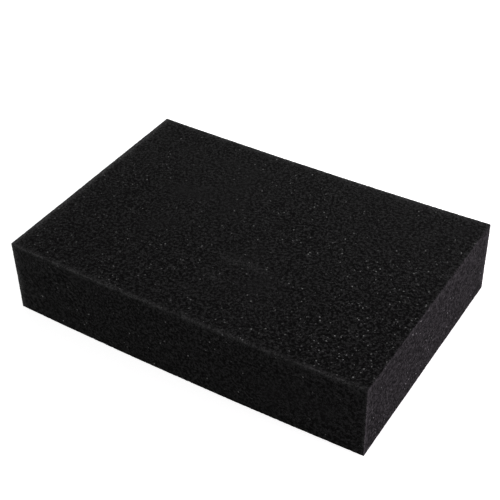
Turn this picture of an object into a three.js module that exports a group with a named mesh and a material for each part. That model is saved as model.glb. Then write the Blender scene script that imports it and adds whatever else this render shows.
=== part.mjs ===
// Needle felting mat: one thick slab of black open-cell foam, cut square on all six sides.
// Millimetres, +Z up. The origin is the middle of the underside. X runs along the length,
// Y from the front long side (-Y) to the back one, and Z up to the work face.

import * as THREE from 'three';

// Driving dimensions
const LENGTH = 300; // from end to end
const WIDTH = 204; // from front to back, the same all along the mat
const THICKNESS = 63; // from the underside to the work face
const SIDE_BOW = 2.3; // how far both long sides stand forward in the middle of the length
const EDGE_ROUND = 0.5; // softness of the cut edges
const FACE_CORNER = 0.5; // corner radius of the two flat faces, inside their soft edges

// Fineness of the curves
const CURVE_STEPS = 8;
const EDGE_STEPS = 3;

// Colour and finish of the foam
const FOAM_COLOUR = 0x222122;
const FOAM_ROUGHNESS = 1;

// Y of a long side of the flat faces at x, where side is -1 at the front and 1 at the back.
// Both sides follow one parabola, set so that the mat's box stays centred on the origin.
function sideY(side, x) {
  const bow = SIDE_BOW * ((2 * x / LENGTH) ** 2 - 1 / 2);
  return side * (WIDTH / 2 - EDGE_ROUND) + bow;
}

// Outline of the work face and the underside, inside the soft edge that runs round them.
// The ends are straight, the long sides bow forward together, and the corners are small arcs.
function faceOutline() {
  const cornerX = LENGTH / 2 - EDGE_ROUND - FACE_CORNER;
  const frontY = sideY(-1, cornerX);
  const backY = sideY(1, cornerX);
  // A parabola's control point lies as far beyond its middle as its ends lie behind it.
  const frontControlY = 2 * sideY(-1, 0) - frontY;
  const backControlY = 2 * sideY(1, 0) - backY;
  const quarter = Math.PI / 2;

  const outline = new THREE.Shape();
  outline.moveTo(-cornerX, frontY);
  outline.quadraticCurveTo(0, frontControlY, cornerX, frontY);
  outline.absarc(cornerX, frontY + FACE_CORNER, FACE_CORNER, -quarter, 0);
  outline.absarc(cornerX, backY - FACE_CORNER, FACE_CORNER, 0, quarter);
  outline.quadraticCurveTo(0, backControlY, -cornerX, backY);
  outline.absarc(-cornerX, backY - FACE_CORNER, FACE_CORNER, quarter, 2 * quarter);
  outline.absarc(-cornerX, frontY + FACE_CORNER, FACE_CORNER, 2 * quarter, 3 * quarter);
  return outline;
}

// The slab: the outline carried up through the thickness, growing by the soft edge at both faces.
function foamBlock() {
  const geometry = new THREE.ExtrudeGeometry(faceOutline(), {
    depth: THICKNESS - 2 * EDGE_ROUND,
    bevelSize: EDGE_ROUND,
    bevelThickness: EDGE_ROUND,
    bevelSegments: EDGE_STEPS,
    curveSegments: CURVE_STEPS,
  });
  const foam = new THREE.MeshStandardMaterial({
    color: FOAM_COLOUR,
    roughness: FOAM_ROUGHNESS,
    metalness: 0,
  });
  const block = new THREE.Mesh(geometry, foam);
  block.name = 'foam_block';
  block.position.z = EDGE_ROUND;
  return block;
}

const feltingMat = new THREE.Group();
feltingMat.add(foamBlock());

export default feltingMat;
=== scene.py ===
"""Needle felting mat: a slab of black open-cell foam on a pale studio floor.

Laid out as an add-on and run as a script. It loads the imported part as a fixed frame, builds the
foam slab in the place of the plain solid, and sets up the floor, the lights and the camera.
"""

import math

import bpy
import numpy as np
from bpy.props import FloatProperty, FloatVectorProperty, IntProperty, PointerProperty
from mathutils import Matrix, Vector


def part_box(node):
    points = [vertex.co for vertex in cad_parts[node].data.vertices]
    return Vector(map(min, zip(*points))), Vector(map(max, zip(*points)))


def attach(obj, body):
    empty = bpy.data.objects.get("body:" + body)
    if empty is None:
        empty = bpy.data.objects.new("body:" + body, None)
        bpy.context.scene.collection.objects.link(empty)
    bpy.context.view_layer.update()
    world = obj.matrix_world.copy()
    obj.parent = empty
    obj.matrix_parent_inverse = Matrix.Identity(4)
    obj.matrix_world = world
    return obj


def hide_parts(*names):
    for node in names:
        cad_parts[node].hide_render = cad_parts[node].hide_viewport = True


bl_info = {
    "name": "Felting Mat",
    "version": (1, 0, 0),
    "blender": (4, 5, 0),
    "location": "3D View > Sidebar > Felting Mat",
    "description": "Builds a foam felting mat and the studio that it is shown in",
    "category": "Object",
}

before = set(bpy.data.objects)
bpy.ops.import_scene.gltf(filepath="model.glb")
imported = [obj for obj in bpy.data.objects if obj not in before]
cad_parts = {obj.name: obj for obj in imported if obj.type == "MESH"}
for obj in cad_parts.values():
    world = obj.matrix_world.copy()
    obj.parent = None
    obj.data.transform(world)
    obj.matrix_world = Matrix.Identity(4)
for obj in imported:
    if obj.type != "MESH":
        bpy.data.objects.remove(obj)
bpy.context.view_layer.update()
SLAB_LOW, SLAB_HIGH = (np.array(corner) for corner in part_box("foam_block"))
MM = 0.001


class FoamShape(bpy.types.PropertyGroup):
    """Sizes of the slab's surface. Its length, width and thickness come from the frame."""

    side_bow: FloatProperty(
        name="Side bow",
        description="How far both long sides stand forward in the middle of the length",
        default=2.3 * MM,
        unit="LENGTH",
    )
    edge_round: FloatProperty(
        name="Edge round",
        description="Radius of the soft cut edges",
        default=0.5 * MM,
        unit="LENGTH",
    )
    grid_step: FloatProperty(
        name="Grid step",
        description="Distance between neighbouring points of the surface",
        default=0.7 * MM,
        unit="LENGTH",
    )
    pit_spacing: FloatProperty(
        name="Pit spacing",
        description="Mean distance between the larger cut cells",
        default=2.2 * MM,
        unit="LENGTH",
    )
    pit_depth: FloatProperty(
        name="Pit depth",
        description="Depth of the hollow that a larger cut cell leaves where the foam is worn",
        default=0.45 * MM,
        unit="LENGTH",
    )
    wave_depth: FloatProperty(
        name="Wave depth",
        description="Depth of the slow waves that the knife leaves on the faces",
        default=0.15 * MM,
        unit="LENGTH",
    )
    wave_length: FloatProperty(
        name="Wave length",
        description="Distance between those waves",
        default=45 * MM,
        unit="LENGTH",
    )
    # Painted highlight: the width of the band of it along the cut edges
    edge_highlight_band: FloatProperty(
        name="Edge band",
        description="Width of the paler band along the cleanest cut edges",
        default=0.9 * MM,
        unit="LENGTH",
    )
    patch_size: FloatProperty(
        name="Patch size",
        description="Size of the patches where the foam is more or less worn",
        default=30 * MM,
        unit="LENGTH",
    )
    mark_height: FloatProperty(
        name="Knife mark height",
        description="Height of the faint ridges that the knife left on the work face",
        default=0.35 * MM,
        unit="LENGTH",
    )
    seed: IntProperty(
        name="Seed",
        description="Start of the random draws that place the cells and waves",
        default=7,
    )


class FoamFinish(bpy.types.PropertyGroup):
    """Colours of the foam with its painted shade, painted glints and painted edge highlight, and the
    sizes of its pattern.
    """

    hollow_colour: FloatVectorProperty(
        name="Hollow colour",
        description="Colour in the shade of the cells",
        default=(0.0035, 0.0035, 0.0035),
        subtype="COLOR",
        size=3,
    )
    wall_colour: FloatVectorProperty(
        name="Wall colour",
        description="Colour of the cut cell walls",
        default=(0.052, 0.052, 0.052),
        subtype="COLOR",
        size=3,
    )
    # Painted glint: a pale colour that stands in for light caught by the thin films
    painted_glint_colour: FloatVectorProperty(
        name="Glint colour",
        description="Colour of the thin films that catch the light",
        default=(0.2, 0.2, 0.2),
        subtype="COLOR",
        size=3,
    )
    # Painted highlight: the colour that stands in for light caught by the cells along a cut edge
    edge_highlight_colour: FloatVectorProperty(
        name="Edge colour",
        description="Colour of the loosened cells along a cut edge",
        default=(0.078, 0.078, 0.078),
        subtype="COLOR",
        size=3,
    )
    fine_cell: FloatProperty(
        name="Fine cell",
        description="Size of the cells in the colour pattern",
        default=1.05 * MM,
        unit="LENGTH",
    )
    glint_spacing: FloatProperty(
        name="Glint spacing",
        description="Distance between the places where a glint may lie",
        default=2.4 * MM,
        unit="LENGTH",
    )


class StudioSetup(bpy.types.PropertyGroup):
    """The floor, the lights and the camera."""

    floor_colour: FloatVectorProperty(
        name="Floor colour",
        description="Colour of the pale floor",
        default=(0.8, 0.8, 0.8),
        subtype="COLOR",
        size=3,
    )
    floor_size: FloatProperty(
        name="Floor size",
        description="Length of the floor's sides",
        default=30.0,
        unit="LENGTH",
    )
    sky_strength: FloatProperty(
        name="Sky strength",
        description="Even light from all round",
        default=0.2,
    )
    side_power: FloatProperty(
        name="Side power",
        description="Power of the low soft light at the right, in watts",
        default=15.2,
    )
    back_power: FloatProperty(
        name="Back power",
        description="Power of the soft light above and behind, in watts",
        default=1.65,
    )
    fill_power: FloatProperty(
        name="Fill power",
        description="Power of the soft light at the front left, in watts",
        default=1.87,
    )
    azimuth: FloatProperty(
        name="Camera azimuth",
        description="Turn of the camera round the mat, from straight in front",
        default=math.radians(32.516),
        subtype="ANGLE",
    )
    elevation: FloatProperty(
        name="Camera elevation",
        description="Height angle of the camera",
        default=math.radians(38.607),
        subtype="ANGLE",
    )
    roll: FloatProperty(
        name="Camera roll",
        description="Tilt of the picture",
        default=math.radians(-1.254),
        subtype="ANGLE",
    )
    distance: FloatProperty(
        name="Camera distance",
        description="Distance from the camera to the point that it aims at",
        default=0.8912,
        unit="LENGTH",
    )
    aim_right: FloatProperty(
        name="Aim right",
        description="How far the picture's middle lies to the right of the underside's middle",
        default=-2.72 * MM,
        unit="LENGTH",
    )
    aim_up: FloatProperty(
        name="Aim up",
        description="How far the picture's middle lies above the underside's middle",
        default=36.83 * MM,
        unit="LENGTH",
    )
    lens: FloatProperty(
        name="Lens",
        description="Focal length on a 36 mm sensor, in millimetres",
        default=81.335,
    )


class MatSettings(bpy.types.PropertyGroup):
    """All that a user would change."""

    shape: PointerProperty(type=FoamShape)
    finish: PointerProperty(type=FoamFinish)
    studio: PointerProperty(type=StudioSetup)


# Surfaces

# Pits of the larger cut cells: how far they reach from their middle, in pit spacings, and the depth of
# the shallowest pit and of a pit in unworn foam, as shares of the full depth
PIT_REACH = 0.7
PIT_LEAST = 0.25
UNWORN_PIT = 0.4
# Slow noise: how many waves add up to it, and its shortest and longest wave as shares of its length
WAVE_COUNT = 12
WAVE_LENGTHS = (0.6, 1.8)
# How far the knife's waves swing with that noise, as a share of their depth
WAVE_SWING = 0.25
# A face ends half way round its soft edges, where the normal lies this far along the face's axis
HALF_WAY_ROUND = math.sqrt(1 / 2)
# How strong the painted highlight is near each plane, and over how many edge bands it falls off, for
# the right end, the back, the work face, the left end and the front, and the columns of three of these
PALING_STRENGTHS = np.array((0.7, 1.0, 0.95, 2.9, 0.85))
PALING_BANDS = np.array((1.0, 2.4, 1.5, 2.3, 1.4))
RIGHT_END, WORK_FACE, LEFT_END = 0, 2, 3
# The finer line of painted highlight that the work face adds on the left: its strength, over how
# many edge bands it falls off, and how far left of the middle it is full
LEFT_LINE = 2.0
LEFT_LINE_BANDS = 0.8
LEFT_LINE_RUN = 45 * MM
# Less painted highlight where the right end meets the work face: by how much, over how many edge bands
CLEAN_CUT = 0.85
CLEAN_CUT_BANDS = 6
# The broad band of painted light on the left end, and how unevenly all the painted edge highlights run
LEFT_END_PALING = 0.14
LEFT_END_BAND = 12 * MM
PALING_UNEVENNESS = 0.22
PALING_WAVE = 14 * MM
# How worn the foam is on the sides, on the right end and in the middle of the work face, how much
# that differs from the middle to the front and between patches, and the least that it can be
SIDE_WEAR = 0.46
RIGHT_END_WEAR = 0.62
WORK_FACE_WEAR = 0.6
FRONT_WEAR = 0.14
PATCH_WEAR = 0.08
LEAST_WEAR = 0.12
# Places on the work face that are more or less worn: X, Y, radius and how much
WORN_PLACES = (
    (125 * MM, -55 * MM, 45 * MM, 0.33),
    (18 * MM, 40 * MM, 26 * MM, 0.25),
    (-42 * MM, -46 * MM, 20 * MM, 0.3),
    (-128 * MM, -35 * MM, 42 * MM, 0.16),
    (-50 * MM, 30 * MM, 33 * MM, -0.3),
    (-78 * MM, -42 * MM, 19 * MM, -0.3),
    (34 * MM, -50 * MM, 26 * MM, -0.28),
)
# The share of places with a painted glint where the foam isn't worn, what full wear adds, and how
# much of that the other faces keep beside the work face
LEAST_GLINTS = 0.03
WORN_GLINTS = 0.4
OTHER_FACES_GLINTS = 0.65
# The knife marks' ends, how they fall off at those, in front of them and behind them, and how much
# painted highlight lies on their ridges
KNIFE_MARKS = (
    ((-11 * MM, -35.4 * MM), (36 * MM, -35.2 * MM)),
    ((-13 * MM, -55.0 * MM), (12 * MM, -59.6 * MM)),
)
MARK_FADE = 8 * MM
MARK_FRONT = 2.6 * MM
MARK_BACK = 5.5 * MM
MARK_PALING = 0.22

# The slab's faces: each one's name, the axis that it faces along, and whether it lies at the high end
FACES = (
    ("right", 0, 1),
    ("left", 0, 0),
    ("back", 1, 1),
    ("front", 1, 0),
    ("top", 2, 1),
    ("underside", 2, 0),
)


def box_lattice(counts):
    """Whole-number lattice on the surface of a box of counts steps along X, Y and Z.

    Each face is a grid of two of the three indices with the third held at 0 or at its count.
    Points that two faces share are merged by their indices. Returns the points' indices, the quads,
    which face outwards, the three indices of each quad's corners, and each quad's face number.
    """
    stride = np.array([(counts[1] + 1) * (counts[2] + 1), counts[2] + 1, 1])
    indices, quads, face_numbers, start = [], [], [], 0
    for number, (_, axis, side) in enumerate(FACES):
        first, second = (axis + 1) % 3, (axis + 2) % 3
        shape = (counts[first] + 1, counts[second] + 1)
        grid = np.zeros((*shape, 3), int)
        grid[..., first], grid[..., second] = np.indices(shape)
        grid[..., axis] = side * counts[axis]
        ids = start + np.arange(shape[0] * shape[1]).reshape(shape)
        corners = [ids[:-1, :-1], ids[1:, :-1], ids[1:, 1:], ids[:-1, 1:]]
        if side == 0:
            corners.reverse()
        faces = np.stack([c.ravel() for c in corners], axis=1)
        indices.append(grid.reshape(-1, 3))
        quads.append(faces)
        face_numbers.append(np.full(len(faces), number))
        start += ids.size
    loose = np.concatenate(indices)
    quads = np.concatenate(quads)
    _, kept, merged = np.unique(loose @ stride, return_index=True, return_inverse=True)
    return loose[kept], merged[quads], loose[quads], np.concatenate(face_numbers)


def soft_box(points, half, radius):
    """Points of a box's surface drawn in to soft edges, with the normals there.

    A point's core is the nearest point of the box that is smaller by the radius on every side. The
    new point lies one radius from its core, in the direction of the old one.
    """
    core = np.clip(points, -half + radius, half - radius)
    normals = points - core
    normals /= np.linalg.norm(normals, axis=1, keepdims=True)
    return core + radius * normals, normals


def nearest_cells(points, size, draw):
    """Distance to the nearest cell centre, in cell sizes, and that cell's own random number.

    There is one centre in each cube of a lattice, at a random place. A point looks through its own
    cube and the 26 cubes round it.
    """
    scaled = points / size
    low = np.floor(scaled.min(axis=0)).astype(int) - 1
    cube = np.floor(scaled).astype(int)
    shape = cube.max(axis=0) - low + 2
    centres = draw.random((*shape, 3))
    numbers = draw.random(shape)
    nearest = np.full(len(points), np.inf)
    number = np.zeros(len(points))
    for step in np.ndindex(3, 3, 3):
        there = cube + np.array(step) - 1
        place = tuple((there - low).T)
        offset = there + centres[place] - scaled
        distance = np.einsum("ij,ij->i", offset, offset)
        number = np.where(distance < nearest, numbers[place], number)
        nearest = np.minimum(distance, nearest)
    return np.sqrt(nearest), number


def slow_waves(points, length, draw):
    """Smooth noise round 0 with a spread of 1: a sum of sine waves that run in random directions."""
    directions = draw.normal(size=(WAVE_COUNT, 3))
    directions /= np.linalg.norm(directions, axis=1, keepdims=True)
    lengths = length * draw.uniform(*WAVE_LENGTHS, WAVE_COUNT)
    turns = points @ (directions / lengths[:, None]).T + draw.random(WAVE_COUNT)
    return np.sin(math.tau * turns).sum(axis=1) * math.sqrt(2 / WAVE_COUNT)


def faces_along(normals, axis):
    """True where a surface faces along an axis, up to half way round its soft edges."""
    return normals[:, axis] > HALF_WAY_ROUND


def painted_edge_light_share(points, half, band):
    """Painted highlight at each point of a box's surface, most on an edge and least inside a face.

    Each plane of the box but the underside lays painted highlight on what lies near it on the other
    faces, by a share that falls off with the depth below it. On the left the work face adds a finer
    line. A point's own face, the plane that it lies least below, is left out. Where the right end
    meets the work face both get less of it. The left end gets a broad band of it as well.
    """
    depths = np.column_stack([half - points, (half + points)[:, :2]])
    shares = PALING_STRENGTHS * np.exp(-depths / (band * PALING_BANDS))
    left_line = LEFT_LINE * np.clip(-points[:, 0] / LEFT_LINE_RUN, 0, 1)
    shares[:, WORK_FACE] += left_line * np.exp(-depths[:, WORK_FACE] / (band * LEFT_LINE_BANDS))
    np.put_along_axis(shares, depths.argmin(axis=1)[:, None], 0, axis=1)
    clean_depth = depths[:, RIGHT_END] + depths[:, WORK_FACE]
    clean = CLEAN_CUT * np.exp(-clean_depth / (band * CLEAN_CUT_BANDS))
    left_end = LEFT_END_PALING * np.exp(-depths[:, LEFT_END] / LEFT_END_BAND)
    return np.maximum(shares.max(axis=1), left_end) * (1 - clean)


def wear(points, normals, half, length, draw):
    """How worn the foam is at each point, from 0 to 1.

    A level for each face and slow noise in patches. On the work face the level rises evenly towards
    the front, and each worn place changes it by a bell curve.
    """
    work_face = WORK_FACE_WEAR - FRONT_WEAR * points[:, 1] / half[1]
    for x, y, radius, change in WORN_PLACES:
        rounds = ((points[:, 0] - x) ** 2 + (points[:, 1] - y) ** 2) / radius**2
        work_face += change * np.exp(-rounds / 2)
    level = np.where(faces_along(normals, 0), RIGHT_END_WEAR, SIDE_WEAR)
    level = np.where(faces_along(normals, 2), work_face, level)
    return np.clip(level + PATCH_WEAR * slow_waves(points, length, draw), LEAST_WEAR, 1)


def knife_marks(points, normals):
    """Share of the height of the knife marks on the work face.

    Each is a straight ridge that fades in and out at its ends. Its section is a bell curve that is
    steeper in front of the ridge than behind it.
    """
    ridges = np.zeros(len(points))
    for start, end in KNIFE_MARKS:
        run = np.subtract(end, start)
        length = np.linalg.norm(run)
        run /= length
        offset = points[:, :2] - start
        along = offset @ run
        behind = offset @ (-run[1], run[0])
        reach = np.clip(np.minimum(along, length - along) / MARK_FADE, 0, 1)
        width = np.where(behind < 0, MARK_FRONT, MARK_BACK)
        ridges += reach * np.exp(-((behind / width) ** 2))
    return ridges * faces_along(normals, 2)


def slab_points(indices, counts, shape, draw):
    """The slab's surface from the lattice, with the masks that its colours read.

    A soft-edged box is bowed in plan along a parabola. From that surface each point moves inwards by
    the pit of the larger cut cell that it lies in and by slow waves, and outwards on a knife mark.
    """
    half = (SLAB_HIGH - SLAB_LOW) / 2
    half[1] -= shape.side_bow / 2
    outer = (indices / counts * 2 - 1) * half
    points, normals = soft_box(outer, half, shape.edge_round)
    points[:, 1] += shape.side_bow * ((points[:, 0] / half[0]) ** 2 - 1 / 2)
    worn = wear(points, normals, half, shape.patch_size, draw)
    distance, depth = nearest_cells(points, shape.pit_spacing, draw)
    pit = np.clip(1 - distance / PIT_REACH, 0, 1) * (PIT_LEAST + (1 - PIT_LEAST) * depth)
    marks = knife_marks(points, normals)
    waves = np.clip(1 / 2 + WAVE_SWING * slow_waves(points, shape.wave_length, draw), 0, 1)
    pit_depth = shape.pit_depth * pit * (UNWORN_PIT + (1 - UNWORN_PIT) * worn)
    inwards = pit_depth + shape.wave_depth * waves - shape.mark_height * marks
    points -= normals * inwards[:, None]
    # Painted highlight along the cut edges and on the knife marks' ridges, uneven along its run
    uneven = 1 + PALING_UNEVENNESS * slow_waves(points, PALING_WAVE, draw)
    painted_edge_light = np.maximum(uneven * painted_edge_light_share(outer, half, shape.edge_highlight_band), MARK_PALING * marks)
    # Share of places with a painted glint, fewer on the faces beside the work face
    glints = LEAST_GLINTS + WORN_GLINTS * worn**3
    glints *= np.where(faces_along(normals, 2), 1, OTHER_FACES_GLINTS)
    masks = {"painted_edge_light": painted_edge_light, "pit": pit, "worn": worn, "glints": glints}
    return points + (SLAB_LOW + SLAB_HIGH) / 2, masks


# Gap between the faces in the flat map
FACE_GAP = 4 * MM


def flat_map(face_numbers, corner_indices, counts):
    """The six faces laid side by side without stretch, as shares of a square.

    The top and underside lie in one column, the long sides stand beside them, and the two ends lie
    in a row above. Each keeps its real size, so a picture on the map has one scale on all of them.
    """
    size = SLAB_HIGH - SLAB_LOW
    length, width, height = size
    column = length + FACE_GAP
    row = 2 * (width + FACE_GAP)
    # Each face's low corner, and the axes that run across and up it
    places = {
        "top": (0, 0, (0, 1)),
        "underside": (0, width + FACE_GAP, (0, 1)),
        "front": (column, 0, (2, 0)),
        "back": (column + height + FACE_GAP, 0, (2, 0)),
        "left": (0, row, (1, 2)),
        "right": (width + FACE_GAP, row, (1, 2)),
    }
    side = max(column + 2 * height + FACE_GAP, row + height)
    real = corner_indices / counts * size
    flat = np.empty((*real.shape[:2], 2))
    for number, (name, _, _) in enumerate(FACES):
        across, up, axes = places[name]
        mine = face_numbers == number
        flat[mine] = real[mine][:, :, axes] + (across, up)
    return flat / side


def slab_mesh(name, shape):
    """A closed mesh of quads for the slab, with its masks as attributes and its flat map."""
    draw = np.random.default_rng(shape.seed)
    counts = np.round((SLAB_HIGH - SLAB_LOW) / shape.grid_step).astype(int)
    indices, quads, corner_indices, face_numbers = box_lattice(counts)
    points, masks = slab_points(indices, counts, shape, draw)
    mesh = bpy.data.meshes.new(name)
    mesh.vertices.add(len(points))
    mesh.vertices.foreach_set("co", points.astype(np.float32).ravel())
    mesh.loops.add(quads.size)
    mesh.loops.foreach_set("vertex_index", quads.astype(np.int32).ravel())
    mesh.polygons.add(len(quads))
    mesh.polygons.foreach_set("loop_start", np.arange(0, quads.size, 4, dtype=np.int32))
    mesh.update(calc_edges=True)
    mesh.shade_smooth()
    for label, values in masks.items():
        attribute = mesh.attributes.new(label, "FLOAT", "POINT")
        attribute.data.foreach_set("value", values.astype(np.float32))
    flat = flat_map(face_numbers, corner_indices, counts)
    mesh.uv_layers.new(name="OFBake").uv.foreach_set("vector", flat.astype(np.float32).ravel())
    return mesh


# Materials

WHITE = (1.0, 1.0, 1.0, 1.0)
# Weights that make two unrelated random numbers of a cell's colour
FIRST_WEIGHTS = (17.0, 23.0, 31.0)
SECOND_WEIGHTS = (29.0, 13.0, 19.0)
# The cut cells, in cell sizes: how far noise bends them, how far from a cell's edge its strut ends and
# is full, and how far a hollow reaches from the middle of its cell
CELL_BEND = 0.7
STRUT_EDGES = (0.20, 0.05)
HOLLOW_REACH = 0.55
# How fine the noise of the struts' level is beside the cells, and where in it the level rises
LEVEL_FINENESS = 0.45
LEVEL_RISE = (0.35, 0.65)
# How far from its middle a glint ends and is full, in glint spacings, and the weakest glint
GLINT_EDGES = (0.28, 0.18)
WEAKEST_GLINT = 0.2
# How strongly cells differ where the foam isn't worn, and what full wear adds
LEAST_CONTRAST = 0.05
WORN_CONTRAST = 2.3
# Most cells are dark: the power that a cell's random tone is raised to, the mean that this leaves, and
# the mean of the struts' level
TONE_POWER = 3.0
MEAN_TONE = 1 / (TONE_POWER + 1)
MEAN_LEVEL = 1 / 2
# How light the lowest struts are and what painted light the highest add, how light the films between
# them are, and how much painted shade a hollow and a pit lay on them
LOWEST_STRUT = 0.05
STRUT_RISE = 0.6
FILM_LIGHTNESS = 0.8
HOLLOW_SHADE = 0.6
PIT_SHADE = 0.85
# Painted highlight along a cut edge, laid on its cells: how pale their struts and films are painted,
# how pale the darkest of these cells is, and what the palest adds
EDGE_LIGHT_STRUT = 0.8
EDGE_LIGHT_FILM = 0.5
WEAKEST_EDGE_LIGHT = 0.2
EDGE_LIGHT_SPREAD = 1.2
# Roughness of the foam, how much smoother a glint is, the foam's faint sheen, and the roughness of the
# film on a glint
FOAM_ROUGHNESS = 0.95
GLINT_SMOOTHNESS = 0.4
FOAM_SHEEN = 0.02
FILM_ROUGHNESS = 0.35
# Relief of the cells
RELIEF_STRENGTH = 0.6
RELIEF_HEIGHT = 0.15 * MM
# The floor: how fine its grain is, where in the noise it changes, its roughness at both ends of that,
# and how bright it shows by itself
FLOOR_GRAIN = 40.0
GRAIN_RISE = (0.3, 0.7)
FLOOR_ROUGHNESS = (0.9, 1.0)
FLOOR_GLOW = 0.84


def connect(tree, socket, value):
    """Links a socket to another one, or sets its value."""
    if isinstance(value, bpy.types.NodeSocket):
        tree.links.new(value, socket)
    else:
        socket.default_value = value


def set_inputs(tree, node, inputs):
    """Links or sets a node's inputs by name, with _ for a space, and hands the node back."""
    for name, value in inputs.items():
        connect(tree, node.inputs[name.replace("_", " ")], value)
    return node


def add_node(tree, kind, **inputs):
    """A node of a kind, with its inputs linked to sockets or set to values by name."""
    return set_inputs(tree, tree.nodes.new(kind), inputs)


def maths(tree, operation, *values, clamp=False):
    """The result of one Math node."""
    node = tree.nodes.new("ShaderNodeMath")
    node.operation = operation
    node.use_clamp = clamp
    for socket, value in zip(node.inputs, values):
        connect(tree, socket, value)
    return node.outputs["Value"]


def remap(tree, value, low, high, to_low=0.0, to_high=1.0):
    """A value eased from the range low to high onto another range."""
    node = add_node(tree, "ShaderNodeMapRange", Value=value)
    node.interpolation_type = "SMOOTHSTEP"
    for name, limit in zip(("From Min", "From Max", "To Min", "To Max"), (low, high, to_low, to_high)):
        connect(tree, node.inputs[name], limit)
    return node.outputs["Result"]


def blend_colours(tree, share, under, over):
    """Two colours mixed by a share."""
    node = tree.nodes.new("ShaderNodeMix")
    node.data_type = "RGBA"
    connect(tree, node.inputs["Factor"], share)
    connect(tree, node.inputs["A"], under)
    connect(tree, node.inputs["B"], over)
    return next(s for s in node.outputs if s.type == "RGBA")


def with_alpha(colour):
    """A colour with an alpha of 1."""
    return (*colour, 1.0)


def new_group(name, inputs, outputs):
    """An empty shader node group with float or vector inputs and float outputs."""
    group = bpy.data.node_groups.new(name, "ShaderNodeTree")
    for label, kind in inputs.items():
        group.interface.new_socket(label, in_out="INPUT", socket_type=kind)
    for label in outputs:
        group.interface.new_socket(label, in_out="OUTPUT", socket_type="NodeSocketFloat")
    return group, group.nodes.new("NodeGroupInput"), group.nodes.new("NodeGroupOutput")


def cell_number(tree, colour, weights):
    """A random number from 0 to 1 for each cell, from its colour.

    A cell's colour follows the place of its middle, so that one channel alone is uneven on a flat
    cut through the cells. The number is the fraction of a large weighted sum of all three.
    """
    total = tree.nodes.new("ShaderNodeVectorMath")
    total.operation = "DOT_PRODUCT"
    connect(tree, total.inputs[0], colour)
    connect(tree, total.inputs[1], weights)
    return maths(tree, "FRACT", total.outputs["Value"])


def cell_group():
    """The pattern of cut foam cells.

    Wall is 1 on the struts, and Hollow rises to 1 in the middle of a cell. Tone is a random number
    for each cell, and Level a slow noise that the colour turns into painted light on higher struts and
    painted shade on lower ones. Noise bends the cells a little, so that the struts aren't straight.
    """
    group, given, made = new_group(
        "Foam cells",
        {"Place": "NodeSocketVector", "Cell size": "NodeSocketFloat"},
        ("Tone", "Wall", "Hollow", "Level"),
    )
    scale = maths(group, "DIVIDE", 1.0, given.outputs["Cell size"])
    slow = maths(group, "MULTIPLY", scale, LEVEL_FINENESS)
    noise = add_node(group, "ShaderNodeTexNoise", Vector=given.outputs["Place"], Scale=scale, Detail=1.0)
    bend = group.nodes.new("ShaderNodeVectorMath")
    bend.operation = "MULTIPLY_ADD"
    reach = maths(group, "MULTIPLY", given.outputs["Cell size"], CELL_BEND)
    connect(group, bend.inputs[0], noise.outputs["Color"])
    connect(group, bend.inputs[1], reach)
    connect(group, bend.inputs[2], given.outputs["Place"])
    bent = bend.outputs["Vector"]
    cells = add_node(group, "ShaderNodeTexVoronoi", Vector=bent, Scale=scale)
    edges = add_node(group, "ShaderNodeTexVoronoi", Vector=bent, Scale=scale)
    edges.feature = "DISTANCE_TO_EDGE"
    heights = add_node(group, "ShaderNodeTexNoise", Vector=given.outputs["Place"], Scale=slow, Detail=1.0)
    connect(group, made.inputs["Tone"], cell_number(group, cells.outputs["Color"], FIRST_WEIGHTS))
    connect(group, made.inputs["Wall"], remap(group, edges.outputs["Distance"], *STRUT_EDGES))
    connect(group, made.inputs["Hollow"], remap(group, cells.outputs["Distance"], HOLLOW_REACH, 0.0))
    connect(group, made.inputs["Level"], remap(group, heights.outputs["Fac"], *LEVEL_RISE))
    return group


def glint_group():
    """Scattered painted glints: one small spot in a share of the cells, of random strength."""
    group, given, made = new_group(
        "Foam glints",
        {"Place": "NodeSocketVector", "Spacing": "NodeSocketFloat", "Share": "NodeSocketFloat"},
        ("Glint",),
    )
    scale = maths(group, "DIVIDE", 1.0, given.outputs["Spacing"])
    spots = add_node(group, "ShaderNodeTexVoronoi", Vector=given.outputs["Place"], Scale=scale)
    chance = cell_number(group, spots.outputs["Color"], FIRST_WEIGHTS)
    lit = maths(group, "LESS_THAN", chance, given.outputs["Share"])
    spot = remap(group, spots.outputs["Distance"], *GLINT_EDGES)
    other = cell_number(group, spots.outputs["Color"], SECOND_WEIGHTS)
    strength = maths(group, "MULTIPLY_ADD", other, 1 - WEAKEST_GLINT, WEAKEST_GLINT)
    glint = maths(group, "MULTIPLY", maths(group, "MULTIPLY", lit, spot), strength)
    connect(group, made.inputs["Glint"], glint)
    return group


def use_group(tree, group, **inputs):
    """A group placed in a tree with its inputs set."""
    node = tree.nodes.new("ShaderNodeGroup")
    node.node_tree = group
    return set_inputs(tree, node, inputs)


def mask(tree, name):
    """The value of a mesh attribute."""
    node = tree.nodes.new("ShaderNodeAttribute")
    node.attribute_name = name
    return node.outputs["Fac"]


def spread_about(tree, value, middle, contrast):
    """A value from 0 to 1 whose distance from a middle is multiplied by a contrast."""
    distance = maths(tree, "SUBTRACT", value, middle)
    return maths(tree, "MULTIPLY_ADD", distance, contrast, middle, clamp=True)


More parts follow.
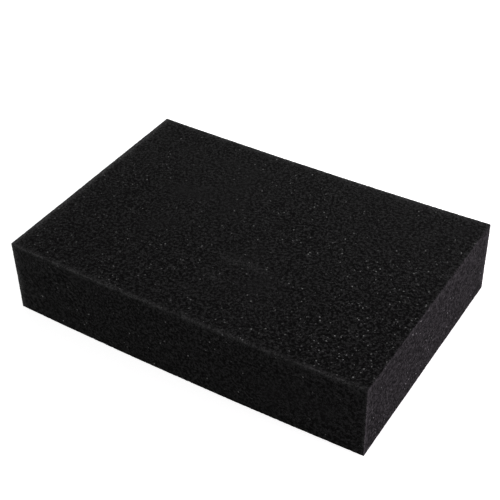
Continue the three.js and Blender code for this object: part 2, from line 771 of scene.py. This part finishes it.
def foam_material(finish):
    """Black foam: painted shade in its hollows, paler cut walls, painted glints and a painted edge
    highlight.
    """
    material = bpy.data.materials.new("Black foam")
    material.use_nodes = True
    tree = material.node_tree
    shader = tree.nodes["Principled BSDF"]
    place = tree.nodes.new("ShaderNodeTexCoord").outputs["Object"]
    cells = use_group(tree, cell_group(), Place=place, Cell_size=finish.fine_cell)
    wall = cells.outputs["Wall"]
    hollow = cells.outputs["Hollow"]
    number = cells.outputs["Tone"]
    share = mask(tree, "glints")
    glints = use_group(tree, glint_group(), Place=place, Spacing=finish.glint_spacing, Share=share)
    dark = with_alpha(finish.hollow_colour)

    contrast = maths(tree, "MULTIPLY_ADD", mask(tree, "worn"), WORN_CONTRAST, LEAST_CONTRAST)
    tone = spread_about(tree, maths(tree, "POWER", number, TONE_POWER), MEAN_TONE, contrast)
    level = spread_about(tree, cells.outputs["Level"], MEAN_LEVEL, contrast)
    # Struts: painted light on the higher ones and painted shade on the lower, by the level
    strut = maths(tree, "MULTIPLY", wall, maths(tree, "MULTIPLY_ADD", level, STRUT_RISE, LOWEST_STRUT))
    pore = maths(tree, "MULTIPLY_ADD", hollow, -HOLLOW_SHADE, 1.0)
    open_part = maths(tree, "SUBTRACT", 1.0, wall)
    film = maths(tree, "MULTIPLY", maths(tree, "MULTIPLY", tone, pore), open_part)
    lightness = maths(tree, "MULTIPLY_ADD", film, FILM_LIGHTNESS, strut, clamp=True)
    body = blend_colours(tree, lightness, dark, with_alpha(finish.wall_colour))

    # Painted shade in the pits of the larger cut cells, stronger where the cells differ more
    depth = maths(tree, "MULTIPLY", mask(tree, "pit"), contrast, clamp=True)
    pit_shaded = blend_colours(tree, maths(tree, "MULTIPLY", depth, PIT_SHADE), body, dark)

    # Painted highlight along the cut edges and the knife marks, on the struts and films of the cells
    # there
    net = maths(tree, "MULTIPLY_ADD", wall, EDGE_LIGHT_STRUT, maths(tree, "MULTIPLY", pore, EDGE_LIGHT_FILM))
    loose = maths(tree, "MULTIPLY_ADD", number, EDGE_LIGHT_SPREAD, WEAKEST_EDGE_LIGHT)
    pale = maths(tree, "MULTIPLY", mask(tree, "painted_edge_light"), loose)
    edge = maths(tree, "MULTIPLY", pale, net, clamp=True)
    edged = blend_colours(tree, edge, pit_shaded, with_alpha(finish.edge_highlight_colour))

    # Painted glints: a pale colour on the struts where a glint lies, over a real smoother coat
    glint = maths(tree, "MULTIPLY", glints.outputs["Glint"], wall)
    lit = blend_colours(tree, glint, edged, with_alpha(finish.painted_glint_colour))
    connect(tree, shader.inputs["Base Color"], lit)

    roughness = maths(tree, "MULTIPLY_ADD", glint, -GLINT_SMOOTHNESS, FOAM_ROUGHNESS)
    connect(tree, shader.inputs["Roughness"], roughness)
    connect(tree, shader.inputs["Specular IOR Level"], FOAM_SHEEN)
    connect(tree, shader.inputs["Coat Weight"], glint)
    connect(tree, shader.inputs["Coat Roughness"], FILM_ROUGHNESS)

    height = maths(tree, "SUBTRACT", wall, hollow)
    bump = add_node(
        tree, "ShaderNodeBump", Strength=RELIEF_STRENGTH, Distance=RELIEF_HEIGHT, Height=height
    )
    connect(tree, shader.inputs["Normal"], bump.outputs["Normal"])
    return material


def light_path_share(tree):
    """1 for rays that see the scene straight, in a mirror or through glass, and 0 for other rays."""
    path = tree.nodes.new("ShaderNodeLightPath")
    seen = maths(tree, "ADD", path.outputs["Is Camera Ray"], path.outputs["Is Glossy Ray"])
    return maths(tree, "ADD", seen, path.outputs["Is Transmission Ray"], clamp=True)


def floor_material(studio):
    """A pale matt floor that shows white outside the mat's shadow."""
    material = bpy.data.materials.new("Pale floor")
    material.use_nodes = True
    tree = material.node_tree
    shader = tree.nodes["Principled BSDF"]
    seen = light_path_share(tree)
    place = tree.nodes.new("ShaderNodeTexCoord").outputs["Object"]
    grain = add_node(tree, "ShaderNodeTexNoise", Vector=place, Scale=FLOOR_GRAIN)
    roughness = remap(tree, grain.outputs["Fac"], *GRAIN_RISE, *FLOOR_ROUGHNESS)
    connect(tree, shader.inputs["Base Color"], with_alpha(studio.floor_colour))
    connect(tree, shader.inputs["Roughness"], roughness)
    connect(tree, shader.inputs["Specular IOR Level"], 0.0)
    connect(tree, shader.inputs["Emission Color"], WHITE)
    connect(tree, shader.inputs["Emission Strength"], maths(tree, "MULTIPLY", seen, FLOOR_GLOW))
    return material


def studio_world(studio):
    """White where it is seen, and an even light of the sky's strength for everything else."""
    world = bpy.data.worlds.new("Studio")
    world.use_nodes = True
    tree = world.node_tree
    background = tree.nodes["Background"]
    seen = light_path_share(tree)
    strength = maths(tree, "MULTIPLY_ADD", seen, 1.0 - studio.sky_strength, studio.sky_strength)
    connect(tree, background.inputs["Color"], WHITE)
    connect(tree, background.inputs["Strength"], strength)
    return world


# Objects

# The soft lights: the length of their sides in metres, and each one's colour and place
LIGHT_SIZE = 0.5
SIDE_LIGHT = ((1.0, 0.84, 1.0), (1.15, 0.15, 0.16))
BACK_LIGHT = ((0.97, 1.0, 0.97), (0.0, 0.44, 0.38))
FILL_LIGHT = ((1.0, 1.0, 1.0), (-0.6, -0.9, 0.35))
# Width of the camera's sensor, in millimetres
SENSOR_WIDTH = 36.0


def link_object(name, data):
    """A new object at the origin, in the scene."""
    made = bpy.data.objects.new(name, data)
    bpy.context.scene.collection.objects.link(made)
    return made


def soft_light(name, power, colour, place, aim):
    """A square soft light at a place, turned towards a point."""
    lamp = bpy.data.lights.new(name, "AREA")
    lamp.energy = power
    lamp.color = colour
    lamp.size = LIGHT_SIZE
    made = link_object(name, lamp)
    made.location = place
    made.rotation_euler = (Vector(aim) - Vector(place)).to_track_quat("-Z", "Y").to_euler()
    made.visible_camera = False
    return made


def camera_matrix(studio, side_bow):
    """The camera's place and turn, from its angles round the point midway between the two ends."""
    across, up_angle, roll = studio.azimuth, studio.elevation, studio.roll
    back = Vector(
        (
            math.sin(across) * math.cos(up_angle),
            -math.cos(across) * math.cos(up_angle),
            math.sin(up_angle),
        )
    )
    level = Vector((math.cos(across), math.sin(across), 0.0))
    upright = back.cross(level)
    right = math.cos(roll) * level + math.sin(roll) * upright
    up = math.cos(roll) * upright - math.sin(roll) * level
    middle = Vector((0.0, side_bow / 2, 0.0))
    place = middle + studio.aim_right * right + studio.aim_up * up + studio.distance * back
    return Matrix.Translation(place) @ Matrix((right, up, back)).transposed().to_4x4()


class MakeSlab(bpy.types.Operator):
    """Build the foam slab in the place of the plain solid"""

    bl_idname = "felting_mat.make_slab"
    bl_label = "Foam slab"

    def execute(self, context):
        settings = context.scene.felting_mat
        slab = link_object("foam_slab", slab_mesh("foam_slab", settings.shape))
        slab.data.materials.append(foam_material(settings.finish))
        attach(slab, "root")
        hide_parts("foam_block")
        return {"FINISHED"}


class SetStage(bpy.types.Operator):
    """Set up the pale floor, the soft lights and the camera"""

    bl_idname = "felting_mat.set_stage"
    bl_label = "Studio"

    def execute(self, context):
        settings = context.scene.felting_mat
        studio = settings.studio
        half = studio.floor_size / 2
        mesh = bpy.data.meshes.new("floor")
        corners = [(-half, -half, 0), (half, -half, 0), (half, half, 0), (-half, half, 0)]
        mesh.from_pydata(corners, [], [(0, 1, 2, 3)])
        mesh.materials.append(floor_material(studio))
        floor = link_object("floor", mesh)

        centre = (SLAB_LOW + SLAB_HIGH) / 2
        soft_light("side", studio.side_power, *SIDE_LIGHT, centre)
        soft_light("back", studio.back_power, *BACK_LIGHT, centre)
        soft_light("fill", studio.fill_power, *FILL_LIGHT, centre)

        scene = context.scene
        scene.world = studio_world(studio)
        scene.view_settings.view_transform = "Standard"
        camera = bpy.data.cameras.new("camera")
        camera.lens = studio.lens
        camera.sensor_width = SENSOR_WIDTH
        view = link_object("camera", camera)
        view.matrix_world = camera_matrix(studio, settings.shape.side_bow)
        scene.camera = view
        return {"FINISHED"}


class FeltingMatPanel(bpy.types.Panel):
    """Lists the operators and what they read."""

    bl_idname = "VIEW3D_PT_felting_mat"
    bl_label = "Felting Mat"
    bl_space_type = "VIEW_3D"
    bl_region_type = "UI"
    bl_category = "Felting Mat"

    def draw(self, context):
        settings = context.scene.felting_mat
        for operator in (MakeSlab, SetStage):
            self.layout.operator(operator.bl_idname)
        for group in (settings.shape, settings.finish, settings.studio):
            box = self.layout.box()
            for name in group.bl_rna.properties.keys():
                if name not in {"rna_type", "name"}:
                    box.prop(group, name)


CLASSES = (
    FoamShape,
    FoamFinish,
    StudioSetup,
    MatSettings,
    MakeSlab,
    SetStage,
    FeltingMatPanel,
)


def register():
    for cls in CLASSES:
        bpy.utils.register_class(cls)
    bpy.types.Scene.felting_mat = PointerProperty(type=MatSettings)


def unregister():
    del bpy.types.Scene.felting_mat
    for cls in reversed(CLASSES):
        bpy.utils.unregister_class(cls)


def main():
    register()
    bpy.ops.felting_mat.make_slab()
    bpy.ops.felting_mat.set_stage()


if __name__ == "__main__":
    main()
